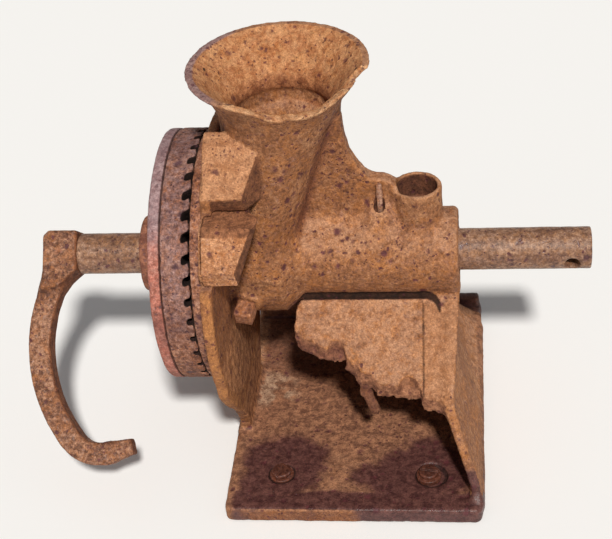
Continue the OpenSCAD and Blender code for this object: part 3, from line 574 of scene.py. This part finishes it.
def make_runner(h):
    g = Grid((-100.2, -76.2, AX - 76.2), (-83.8, 76.2, AX + 76.2), h)
    f = xcyl(g, -100.2, -83.8, 76.2, 1.0)
    f = np.maximum(f, -xcyl(g, -110, -70, 30))
    # furrows open at the rim, each a little different
    ang = np.degrees(np.arctan2(-g.Y, g.Z - AX)) % 360
    rad = np.sqrt(g.Y ** 2 + (g.Z - AX) ** 2)
    k = np.floor(ang / (360 / 38.0) + 0.5)
    wob = np.sin(k * 12.9898) * 0.5
    off = np.radians(ang - k * (360 / 38.0)) * rad + (0.35 + 0.3 * wob) * (g.X + 86)
    cut = pair(np.abs(off) - 2.25 - 0.8 * wob, np.maximum(44 - rad, -(g.X + 83.8 + 3.9 + 1.1 * wob)), 1.5)
    f = smax(f, -cut, 0.8)
    f = burr_holes(g, f, (90, 210, 330), 3.0)

    def extra(p, n):
        r = np.hypot(p[:, 1], p[:, 2] - AX)
        a = np.degrees(np.arctan2(-p[:, 1], p[:, 2] - AX)) % 360
        o = np.radians(a - np.floor(a / (360 / 38.0) + 0.5) * (360 / 38.0)) * r
        out = (n[:, 1] * p[:, 1] + n[:, 2] * (p[:, 2] - AX)) / (r + 1e-6)
        # painted shade: near-black inside the furrows between the burr teeth, on faces turned away from the rim
        return {"grey": 0.50 * smooth(p[:, 2], AX - 60, AX + 30) * smooth(r, 74, 75.6), "furrow_shade": (np.abs(o) < 4.6) * (p[:, 0] > -89.6) * (r > 40) * smooth(out, 0.75, 0.35)}, 0.0
    return piece("runner_ring", "runner_burr", f, g, "spindle", rough=0.2, pits=0.3, seed=601, soft=1, extra=extra)

def make_fixed(h):
    g = Grid((-83.3, -76.2, AX - 76.2), (-76, 76.2, AX + 76.2), h)
    f = xcyl(g, -83.3, -76, 76.2, 0.9)
    f = np.maximum(f, -xcyl(g, -90, -70, 30))
    f = burr_holes(g, f, (30, 150, 270), 3.0)
    return piece("fixed_ring", "stationary_burr", f, g, "frame", rough=0.2, pits=0.3, seed=701, soft=1)

def make_wedge(h):
    g = Grid((-76, -79, 162), (-42, -38, 194), h)

    def extra(p, n):
        # painted shade: the wedge's right-facing sides darkened
        return {"top": smooth(p[:, 2], 188.0, 190.4), "side": smooth(n[:, 0], 0.45, 0.7)}, 0.0
    return piece("driven_wedge", "retaining_wedge", wedge_field(g), g, "frame", rough=0.3, pits=0.5, seed=801, soft=1, extra=extra)

def make_setscrew(h):
    g = Grid((-72, -54, 102), (-48, -22, 130), h)
    u, w, al = screw_axes(g)
    shank = pair(np.sqrt(u ** 2 + w ** 2) - 4, span(al, 30.2, 40))
    head = pair(pair(np.abs(u) - 5.5, np.abs(w) - 5.5, 1.2), span(al, 37.8, 48.8), 1.4)
    return piece("set_screw", "burr_set_screw", np.minimum(shank, head), g, "frame", rough=0.4, pits=0.6, seed=901, soft=1)

def make_peg(h):
    g = Grid((17.5, -9.6, 148), (23.5, -3.6, 183), h)
    f = np.minimum(zcyl(g, 20.5, -6.6, 148, 174.5, 1.7), pair(np.sqrt((g.X - 20.5) ** 2 + (g.Y + 6.6) ** 2) - (2.1 - 0.6 * (g.Z - 174) / 9), span(g.Z, 174, 183), 0.5))
    return piece("oil_peg", "oil_hole_pin", f, g, "frame", rough=0.1, pits=0.0, seed=951, soft=1)

def make_bolts(h):
    obs = []
    for name, node in (("bolt_heads", "mounting_bolts"), ("bolt_washers", "mounting_washers")):
        g = Grid((-54, -78, 0), (54.5, -62, 15), h)
        f = None
        for sx in (-1, 1):
            x = sx * 45.5
            if node == "mounting_bolts":
                b = np.minimum(zcyl(g, x, -70, 0, 12.5, 4.0), zcyl(g, x, -70, 11.8, 14.7, 6.0, 1.1))
                ca, sa = math.cos(0.5 + 0.9 * sx), math.sin(0.5 + 0.9 * sx)
                sl = (g.X - x) * ca + (g.Y + 70) * sa
                b = smax(b, -np.maximum(np.abs(sl) - 0.8, 13.5 - g.Z), 0.3)
            else:
                z0 = 8.6 if sx > 0 else 10.0
                b = zcyl(g, x, -70, z0, 11.8, 7.6, 0.7)
                b = np.maximum(b, -zcyl(g, x, -70, 0, 20, 4.2))
            f = b if f is None else np.minimum(f, b)
        obs.append(piece(name, node, f, g, "frame", rough=0.06, pits=0.0, seed=971, soft=1))
    return obs

# ---------------------------------------------------------------- materials
def lin(c):
    return tuple(((v / 255) / 12.92 if v / 255 <= 0.04045 else ((v / 255 + 0.055) / 1.055) ** 2.4) for v in c) + (1.0,)

class Nodes:
    def __init__(self, name):
        self.m = bpy.data.materials.new(name)
        self.m.use_nodes = True
        self.t = self.m.node_tree
        self.bsdf = next(n for n in self.t.nodes if n.type == "BSDF_PRINCIPLED")
        self.co = self.t.nodes.new("ShaderNodeTexCoord").outputs["Object"]

    def put(self, sock, val):
        if hasattr(val, "is_output"):
            self.t.links.new(val, sock)
        else:
            sock.default_value = val

    def noise(self, scale, detail=3.0, rough=0.55, dist=0.0, co=None, stretch=None):
        n = self.t.nodes.new("ShaderNodeTexNoise")
        n.inputs["Scale"].default_value = scale
        n.inputs["Detail"].default_value = detail
        n.inputs["Roughness"].default_value = rough
        n.inputs["Distortion"].default_value = dist
        src = co or self.co
        if stretch:
            mp = self.t.nodes.new("ShaderNodeMapping")
            mp.inputs["Scale"].default_value = stretch
            self.t.links.new(src, mp.inputs["Vector"])
            src = mp.outputs["Vector"]
        self.t.links.new(src, n.inputs["Vector"])
        return n.outputs["Fac"]

    def warped(self, scale, amount):
        """Object coordinates pushed about by noise, for ragged outlines."""
        n = self.t.nodes.new("ShaderNodeTexNoise")
        n.inputs["Scale"].default_value = scale
        n.inputs["Detail"].default_value = 3.0
        self.t.links.new(self.co, n.inputs["Vector"])
        k = self.t.nodes.new("ShaderNodeVectorMath")
        k.operation = "MULTIPLY_ADD"
        self.t.links.new(n.outputs["Color"], k.inputs[0])
        k.inputs[1].default_value = (amount, amount, amount)
        self.t.links.new(self.co, k.inputs[2])
        return k.outputs["Vector"]

    def blots(self, scale, density, co, r0, r1):
        """Round blots, some cells only; density may be a socket."""
        n = self.t.nodes.new("ShaderNodeTexVoronoi")
        n.inputs["Scale"].default_value = scale
        self.t.links.new(co, n.inputs["Vector"])
        sep = self.t.nodes.new("ShaderNodeSeparateColor")
        self.t.links.new(n.outputs["Color"], sep.inputs[0])
        here = self.math("MULTIPLY", self.math("SUBTRACT", self.math("ADD", sep.outputs[0], density), 1.0), 7.0, True)
        size = self.math("ADD", self.math("MULTIPLY", sep.outputs[1], r1 - r0), r0)
        inside = self.math("MULTIPLY", self.math("SUBTRACT", size, n.outputs["Distance"]), 6.5, True)
        return self.math("MULTIPLY", here, inside)

    def map(self, v, a, b, c=0.0, d=1.0, soft=True):
        n = self.t.nodes.new("ShaderNodeMapRange")
        n.interpolation_type = "SMOOTHSTEP" if soft else "LINEAR"
        self.put(n.inputs["Value"], v)
        for k, x in (("From Min", a), ("From Max", b), ("To Min", c), ("To Max", d)):
            n.inputs[k].default_value = x
        return n.outputs["Result"]

    def math(self, op, a, b=0.0, clamp=False):
        n = self.t.nodes.new("ShaderNodeMath")
        n.operation = op
        n.use_clamp = clamp
        self.put(n.inputs[0], a)
        self.put(n.inputs[1], b)
        return n.outputs[0]

    def mix(self, fac, a, b, mode="MIX"):
        n = self.t.nodes.new("ShaderNodeMix")
        n.data_type = "RGBA"
        n.blend_type = mode
        self.put(n.inputs["Factor"], fac)
        self.put(n.inputs[6], a)
        self.put(n.inputs[7], b)
        return n.outputs[2]

    def ramp(self, fac, stops):
        n = self.t.nodes.new("ShaderNodeValToRGB")
        e = n.color_ramp.elements
        while len(e) < len(stops):
            e.new(0.5)
        for k, (p, c) in enumerate(stops):
            e[k].position, e[k].color = p, c
        self.t.links.new(fac, n.inputs["Fac"])
        return n.outputs["Color"]

    def attr(self, name):
        n = self.t.nodes.new("ShaderNodeAttribute")
        n.attribute_name = name
        return n.outputs["Fac"]

    def bump(self, height, dist, strength=1.0, normal=None):
        n = self.t.nodes.new("ShaderNodeBump")
        n.inputs["Strength"].default_value = strength
        n.inputs["Distance"].default_value = dist
        self.t.links.new(height, n.inputs["Height"])
        if normal is not None:
            self.t.links.new(normal, n.inputs["Normal"])
        return n.outputs["Normal"]

def rust(name, dark, mid, light, hue=(184, 112, 58), spot=(80, 40, 44), spots=0.5, grain=0.5, patch=38.0, bump=0.5, gloss=0.82, masks=(),
         stretch=None, cast=True, dust=0.0, dustc=(190, 145, 116), contrast=1.0,
         deepc=(108, 58, 42), filmc=(150, 116, 112), thick=None, underside_shade=0.0, fleck=1.0, blotch=1.0):
    """Layered rust: broad patches, orange bloom, purple-brown blots, fine grain, dust on top faces, painted shade on
    faces that do not point up and in recesses.
    """
    N = Nodes(name)
    broad = N.noise(patch, 4, 0.6, 0.3, stretch=stretch)
    mott = N.noise(patch * 5.0, 6, 0.70, 0.2, stretch=stretch)
    tiny = N.noise(430, 4, 0.7)
    fine = N.noise(1250, 3, 0.65)
    tone = N.math("ADD", N.math("MULTIPLY", broad, 0.32), N.math("ADD", N.math("MULTIPLY", mott, 0.24), N.math("MULTIPLY", tiny, 0.44)))
    w = 0.11 / contrast
    col = N.ramp(tone, [(0.5 - w, lin(dark)), (0.5, lin(mid)), (0.5 + w, lin(light))])
    # orange bloom in patches
    bloom = N.map(N.noise(patch * 3.4, 7, 0.78, 0.5), 0.47, 0.62)
    col = N.mix(N.math("MULTIPLY", bloom, 0.40), col, lin(hue))
    deep = N.map(N.noise(patch * 3.1, 6, 0.74, 0.5, co=N.warped(90, 0.02)), 0.53, 0.68)
    col = N.mix(N.math("MULTIPLY", deep, 0.24), col, lin(deepc))
    film = N.map(N.noise(patch * 5.5, 5, 0.7, 0.4, co=N.warped(60, 0.05)), 0.55, 0.70)
    col = N.mix(N.math("MULTIPLY", film, 0.28), col, lin(filmc))
    # small flecks of orange and of mauve
    col = N.mix(N.map(N.noise(330, 5, 0.75, 0.3), 0.52, 0.66, 0.0, 0.50 * fleck), col, lin(hue))
    col = N.mix(N.map(N.noise(390, 5, 0.75, 0.3, co=N.warped(140, 0.01)), 0.54, 0.68, 0.0, 0.50 * fleck), col, lin(filmc))
    if cast:
        up = N.attr("up")
        if dust:
            col = N.mix(N.math("MULTIPLY", N.math("MULTIPLY", N.map(up, 0.25, 0.8), dust), N.map(mott, 0.34, 0.58)), col, lin(dustc))
        # painted shade: colour darkened, slightly warmer, on faces that do not point up
        if underside_shade:
            cf = N.t.nodes.new("ShaderNodeCombineColor")
            for k, warm in enumerate((1.0, 0.91, 0.88)):
                N.put(cf.inputs[k], N.map(up, -0.55, 0.52, (1.0 - underside_shade) * warm, 1.0))
            col = N.mix(1.0, col, cf.outputs[0], "MULTIPLY")
        ao = N.attr("ao")
        edge = N.attr("edge")
        # painted shade: occluded recesses mixed toward the dark spot colour
        col = N.mix(N.math("MULTIPLY", N.map(ao, 0.22, 0.9), 0.5), col, lin(spot))
        wear = N.math("MULTIPLY", N.map(edge, 0.3, 0.9), N.map(mott, 0.42, 0.62))
        col = N.mix(N.math("MULTIPLY", wear, 0.35), col, lin(light))
    # purple-brown blots, clustered, in three sizes
    wc = N.warped(260, 0.0042)
    clus = N.map(N.noise(patch * 0.8, 3, 0.6, 0.5), 0.42, 0.66, 0.36 * spots, 1.05 * spots)
    if thick:
        clus = N.math("ADD", clus, N.math("MULTIPLY", N.attr(thick), 1.35))
        clus = N.math("SUBTRACT", clus, N.math("MULTIPLY", N.attr("calm"), 0.62))
    b1 = N.blots(105 / blotch, N.math("MULTIPLY", clus, 1.25), wc, 0.12, 0.31)
    b2 = N.blots(210, N.math("MULTIPLY", clus, 1.35), wc, 0.13, 0.34)
    b3 = N.blots(430, N.math("MULTIPLY", clus, 0.65), wc, 0.18, 0.36)
    pit = N.math("MAXIMUM", N.math("MAXIMUM", b1, b2), b3)
    shade = N.mix(N.map(mott, 0.4, 0.6), lin(spot), lin(tuple(min(255, int(v * 1.22)) for v in spot)))
    col = N.mix(N.math("MULTIPLY", pit, 0.92), col, shade)
    g = N.map(fine, 0.28, 0.72, 1 - 0.50 * grain, 1 + 0.44 * grain, False)
    g2 = N.map(tiny, 0.3, 0.7, 1 - 0.30 * grain, 1 + 0.26 * grain, False)
    gg = N.math("MULTIPLY", g, g2)
    rough = N.map(pit, 0, 1, gloss, gloss - 0.2, False)
    height = N.math("ADD", N.math("MULTIPLY", fine, 0.35), N.math("MULTIPLY", tiny, 0.9))
    height = N.math("SUBTRACT", height, N.math("MULTIPLY", pit, 0.45))
    for key, (c0, c1, amount, rgh, flat, hard) in masks:
        m = N.attr(key)
        wd = 0.5 - 0.38 * hard
        brk = N.map(N.math("ADD", m, N.math("MULTIPLY", N.math("SUBTRACT", mott, 0.5), 0.9)), 0.5 - wd, 0.5 + wd)
        mm = N.math("MULTIPLY", brk, amount)
        cc = N.mix(N.map(N.noise(190, 6, 0.76, 0.3), 0.38, 0.62), lin(c0), lin(c1))
        cc = N.mix(N.math("MULTIPLY", pit, 0.75), cc, shade)
        col = N.mix(mm, col, cc)
        if rgh is not None:
            rr = N.map(N.noise(160, 4, 0.6), 0.3, 0.7, rgh - 0.08, rgh + 0.16, False)
            n = N.t.nodes.new("ShaderNodeMix")
            n.data_type = "FLOAT"
            N.put(n.inputs[0], mm)
            N.put(n.inputs[2], rough)
            N.put(n.inputs[3], rr)
            rough = n.outputs[0]
        if flat:
            height = N.math("MULTIPLY", height, N.map(mm, 0, 1, 1.0, 1.0 - flat, False))
    comb = N.t.nodes.new("ShaderNodeCombineColor")
    for k in range(3):
        N.put(comb.inputs[k], gg)
    N.put(N.bsdf.inputs["Base Color"], N.mix(1.0, col, comb.outputs[0], "MULTIPLY"))
    N.put(N.bsdf.inputs["Roughness"], rough)
    N.bsdf.inputs["Specular IOR Level"].default_value = 0.3
    N.put(N.bsdf.inputs["Normal"], N.bump(height, 0.0011 * bump, 0.9))
    return N.m

M_CAST = rust("rusted_casting", (120, 75, 48), (156, 104, 69), (190, 138, 98), hue=(192, 122, 60), contrast=0.9, fleck=0.75, spots=1.0, patch=30, bump=0.8, grain=0.8, dust=0.5, thick="thick",
              underside_shade=0.46,
              masks=[("frac", ((100, 60, 44), (166, 114, 84), 0.85, 0.85, 0.0, 0.6)),
                     ("rimfrac", ((176, 116, 74), (222, 172, 128), 0.8, 0.8, 0.0, 0.5)),
                     ("side", ((150, 98, 62), (190, 136, 98), 0.6, 0.8, 0.0, 0.4)),
                     ("lwall", ((145, 95, 59), (222, 158, 110), 0.85, 0.8, 0.0, 0.2)),
                     # painted light on the lug's upward faces
                     ("lug", ((164, 110, 74), (206, 150, 108), 0.7, 0.8, 0.0, 0.3)),
                     # painted shade on the lug's end face and right-facing sides
                     ("lug_end_side_shade", ((84, 50, 34), (132, 84, 56), 0.9, 0.85, 0.0, 0.5)),
                     ("cupin", ((70, 40, 30), (112, 68, 50), 0.85, 0.85, 0.0, 0.4)),
                     ("strip", ((150, 96, 60), (188, 126, 72), 0.7, 0.8, 0.2, 0.4)),
                     ("bowl", ((172, 104, 56), (220, 160, 108), 0.62, 0.75, 0.2, 0.3)),
                     # painted shade deep in the hopper throat
                     ("throat", ((112, 64, 42), (176, 114, 76), 0.75, 0.8, 0.1, 0.1)),
                     ("mauve", ((128, 98, 100), (166, 136, 134), 0.8, 0.75, 0.0, 0.3)),
                     ("valley", ((88, 48, 38), (136, 82, 54), 0.62, 0.8, 0.0, 0.1)),
                     # painted shade inside the pedestal's hollow and on the rod stub
                     ("inner", ((92, 54, 44), (128, 80, 62), 0.7, 0.8, 0.1, 0.1)),
                     ("foot", ((108, 70, 52), (174, 122, 90), 0.85, 0.8, 0.0, 0.2)),
                     ("dusty", ((150, 116, 92), (206, 176, 148), 0.6, 0.85, 0.0, 0.0)),
                     ("prim", ((66, 38, 38), (100, 64, 60), 0.95, 0.26, 0.5, 0.1)),
                     # painted shade round the bolt washers, and the two rim dots
                     ("ring", ((30, 17, 15), (54, 31, 27), 0.9, 0.6, 0.0, 0.5)),
                     # painted shadow along the groove and the crease
                     ("groove", ((26, 14, 10), (52, 30, 20), 0.95, 0.9, 0.0, 0.5))])
M_WEDGE = rust("rusted_wedge", (138, 88, 58), (178, 122, 84), (206, 152, 112), spots=0.8, patch=40, bump=0.9, grain=0.9,
               masks=[("top", ((100, 60, 40), (156, 102, 70), 0.85, 0.85, 0.0, 0.4)),
                      # painted shade on the wedge's right-facing sides
                      ("side", ((76, 44, 30), (116, 72, 48), 0.9, 0.85, 0.0, 0.5))])
M_CRANK = rust("rusted_forging", (90, 55, 40), (128, 86, 63), (164, 121, 95), hue=(172, 108, 60), filmc=(150, 126, 118), spots=1.2, patch=44, bump=0.5, grain=0.9, gloss=0.7, contrast=1.6,
               # painted shade on the crank's faces turned toward +x
               masks=[("inside", ((92, 52, 34), (142, 88, 56), 0.75, 0.8, 0.0, 0.2))])
M_SHAFT = rust("rusted_spindle", (100, 68, 52), (138, 102, 80), (174, 138, 114), hue=(172, 120, 76), spot=(78, 48, 50), filmc=(140, 122, 118), spots=1.45, patch=60, bump=0.35, grain=0.7, gloss=0.42, stretch=(0.6, 1, 1), contrast=1.2, fleck=0.7)
M_CARRIER = rust("faded_red_paint", (136, 80, 66), (178, 114, 98), (206, 148, 132), hue=(196, 112, 92), spot=(96, 66, 66), spots=0.9, patch=30, bump=0.45, grain=0.6, gloss=0.72, contrast=1.5,
                 masks=[("worn", ((112, 66, 52), (160, 106, 86), 0.75, 0.8, 0.0, 0.85)),
                        ("grey", ((118, 100, 106), (164, 146, 150), 0.75, 0.7, 0.0, 0.4)),
                        ("hub", ((104, 62, 48), (156, 104, 78), 0.9, 0.8, 0.0, 0.4)),
                        ("low", ((104, 62, 50), (160, 106, 86), 0.7, 0.8, 0.0, 0.2)),
                        ("seam", ((50, 29, 24), (84, 52, 43), 0.85, 0.9, 0.0, 0.5))])
M_BURR = rust("burr_iron", (92, 56, 44), (144, 97, 76), (182, 136, 112), hue=(174, 106, 60), spot=(72, 42, 48), spots=1.9, patch=48, bump=0.7, grain=0.8, contrast=1.3, blotch=1.25,
              masks=[("grey", ((104, 80, 84), (160, 134, 136), 0.75, 0.8, 0.0, 0.75)),
                     # painted shade in the burr furrows
                     ("furrow_shade", ((14, 9, 8), (30, 19, 16), 0.92, 0.9, 0.0, 0.6))])
M_PEG = rust("pale_pin", (120, 84, 66), (168, 126, 102), (206, 166, 140), spots=0.4, patch=120, bump=0.4, grain=0.6)
M_SMALL = rust("rusted_fixing", (104, 64, 46), (148, 98, 70), (186, 134, 102), spots=0.6, patch=90, bump=0.6, grain=0.6)
M_BOLT = rust("primed_bolt", (56, 29, 23), (84, 46, 35), (116, 70, 54), hue=(122, 66, 42), spot=(46, 26, 24), spots=0.5, patch=120, bump=0.3, grain=0.5, gloss=0.45)
M_PLAIN = rust("rusted_inner", (96, 60, 46), (134, 88, 66), (166, 118, 92), spots=0.4, patch=60, bump=0.4, grain=0.5, cast=False)
M_BRONZE = rust("dull_bronze", (112, 82, 44), (150, 116, 66), (182, 148, 92), hue=(160, 118, 60), spot=(70, 52, 30), spots=0.3, patch=60, bump=0.25, grain=0.35, gloss=0.55, cast=False)

# ---------------------------------------------------------------- build
fine_h = 0.9
made = [
    (make_mill(fine_h), M_CAST, "rusted_casting"),
    (make_crank(0.9), M_CRANK, "rusted_forging"),
    (make_shaft(0.8), M_SHAFT, "rusted_steel"),
    (make_carrier(0.8), M_CARRIER, "red_painted_iron"),
    (make_runner(0.7), M_BURR, "burr_iron"),
    (make_fixed(0.8), M_BURR, "burr_iron"),
    (make_wedge(0.6), M_WEDGE, "rusted_casting"),
    (make_setscrew(0.5), M_SMALL, "rusted_steel"),
    (make_peg(0.3), M_PEG, "rusted_steel"),
] + [(o, M_BOLT, "dark_primer_steel") for o in make_bolts(0.35)]
replaced = set()
for ob, mat, slot in made:
    ob.data.materials.append(mat)
    replaced.update(ob["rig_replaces"])
for name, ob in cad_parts.items():
    if name in replaced:
        continue
    ob.data.materials.clear()
    ob.data.materials.append(M_BRONZE if name in ("front_bush", "thrust_washer") else M_PLAIN)

# ---------------------------------------------------------------- floor, light, camera
me = bpy.data.meshes.new("floor")
me.from_pydata([(-9, -9, -0.0004), (9, -9, -0.0004), (9, 9, -0.0004), (-9, 9, -0.0004)], [], [(0, 1, 2, 3)])
floor = bpy.data.objects.new("floor", me)
bpy.context.scene.collection.objects.link(floor)
fm = bpy.data.materials.new("pale_floor")
fm.use_nodes = True
fb = next(n for n in fm.node_tree.nodes if n.type == "BSDF_PRINCIPLED")
fb.inputs["Base Color"].default_value = (0.93, 0.93, 0.93, 1)
fb.inputs["Roughness"].default_value = 0.9
me.materials.append(fm)

world = bpy.data.worlds.new("studio")
bpy.context.scene.world = world
world.use_nodes = True
bg = next(n for n in world.node_tree.nodes if n.type == "BACKGROUND")
bg.inputs["Color"].default_value = (1.0, 1.0, 1.0, 1)
bg.inputs["Strength"].default_value = 0.22

sun = bpy.data.lights.new("key", "SUN")
sun.energy = 3.25
sun.angle = math.radians(5)
sun.color = (1.0, 0.97, 0.92)
so = bpy.data.objects.new("key", sun)
bpy.context.scene.collection.objects.link(so)
so.rotation_mode = "QUATERNION"
so.rotation_quaternion = Vector((0.18, -0.635, 0.75)).to_track_quat("Z", "Y")

az, el, roll = math.radians(8.9), math.radians(36.8), math.radians(6.0)
r = Vector((math.cos(az), math.sin(az), 0))
fwd = Vector((-math.sin(az) * math.cos(el), math.cos(az) * math.cos(el), -math.sin(el)))
u = r.cross(fwd)
right = math.cos(roll) * r - math.sin(roll) * u
up = math.sin(roll) * r + math.cos(roll) * u
pos = Vector((-0.028, 0, 0.1168)) - fwd * 0.8594
cam = bpy.data.cameras.new("camera")
cam.sensor_fit = "HORIZONTAL"
cam.sensor_width = 36.0
cam.lens = 36.0 * 1400.0 / 612.0
cam.clip_start, cam.clip_end = 0.01, 20
co = bpy.data.objects.new("camera", cam)
bpy.context.scene.collection.objects.link(co)
m = Matrix.Identity(4)
for k in range(3):
    m[k][0], m[k][1], m[k][2], m[k][3] = right[k], up[k], -fwd[k], pos[k]
co.matrix_world = m
bpy.context.scene.camera = co
bpy.context.scene.view_settings.view_transform = "Standard"
